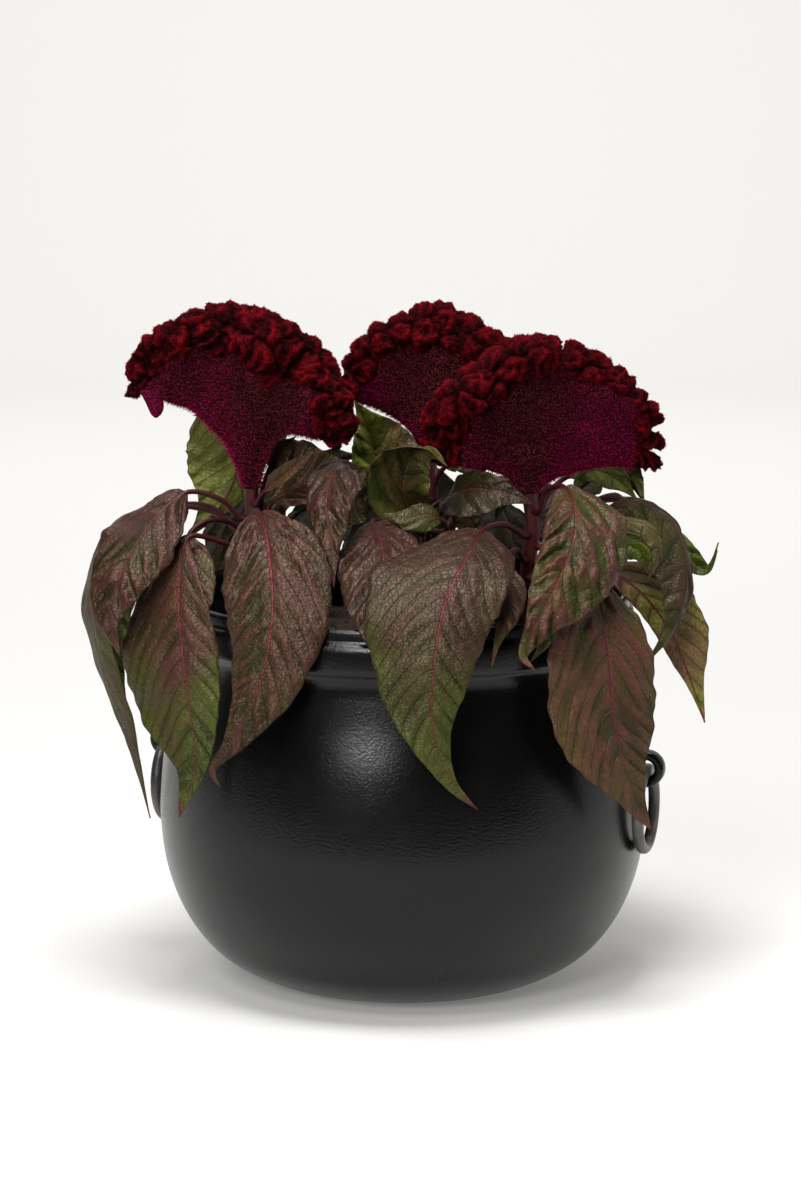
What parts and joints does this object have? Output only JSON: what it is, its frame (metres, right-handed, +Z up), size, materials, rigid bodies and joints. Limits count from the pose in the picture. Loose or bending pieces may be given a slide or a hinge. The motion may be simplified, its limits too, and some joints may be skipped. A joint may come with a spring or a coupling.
{
  "type": "potted cockscomb celosia",
  "caption": "Potted crested celosia: velvety fan-shaped flower heads over drooping quilted leaves, in a round cauldron planter with hanging ring handles.",
  "frame": {"origin": "centre of the pot's flat underside", "axes": "+Z up along the pot's axis, -Y towards the front, +X to the right seen from the front"},
  "size_m": [0.3325, 0.2838, 0.3579],
  "materials": {
    "pot": "satin black injection-moulded plastic with a fine grain",
    "ring": "satin black moulded plastic",
    "soil": "dark moist peat compost",
    "stem": "crimson ribbed succulent stem with a waxy sheen",
    "head": "velvety deep crimson crest over magenta bristly florets",
    "leaf": "satin bronze-purple leaf with green patches and pink midrib"
  },
  "bodies": {
    "planter": {"pot": "pot", "soil": "soil", "stem_left": "stem", "head_left": "head", "stem_middle": "stem", "head_middle": "head", "stem_right": "stem", "head_right": "head", "leaf_left_far": "leaf", "leaf_left_upper": "leaf", "leaf_left_front": "leaf", "leaf_left_between": "leaf", "leaf_left_centre": "leaf", "leaf_left_back": "leaf", "leaf_left_inner": "leaf", "leaf_left_young": "leaf", "leaf_mid_tip_up": "leaf", "leaf_mid_arch": "leaf", "leaf_mid_front": "leaf", "leaf_rolled": "leaf", "leaf_mid_lip": "leaf", "leaf_right_shade": "leaf", "leaf_front": "leaf", "leaf_front_behind": "leaf", "leaf_right_centre": "leaf", "leaf_right_low": "leaf", "leaf_right_small": "leaf", "leaf_right_arch": "leaf", "leaf_right_curl": "leaf", "leaf_right_green": "leaf", "leaf_right_pale": "leaf", "leaf_right_tip": "leaf", "leaf_right_back": "leaf", "leaf_back_left": "leaf", "leaf_back_mid_left": "leaf", "leaf_back_high_left": "leaf", "leaf_inner_left": "leaf", "leaf_side_left_back": "leaf", "leaf_back_centre": "leaf", "leaf_back_mid_right": "leaf", "leaf_inner_right": "leaf", "leaf_side_right_back": "leaf", "leaf_back_right": "leaf"},
    "ring_left": {"ring_left": "ring"},
    "ring_right": {"ring_right": "ring"}
  },
  "joints": [
    {"name": "ring_left_swing", "type": "hinge", "parent": "planter", "child": "ring_left", "pos_m": [-0.12516, 0.03589, 0.1162], "axis": [0.2756, 0.9613, 0], "range_deg": [0, 90]},
    {"name": "ring_right_swing", "type": "hinge", "parent": "planter", "child": "ring_right", "pos_m": [0.12516, -0.03589, 0.1162], "axis": [-0.2756, -0.9613, 0], "range_deg": [0, 90]}
  ]
}
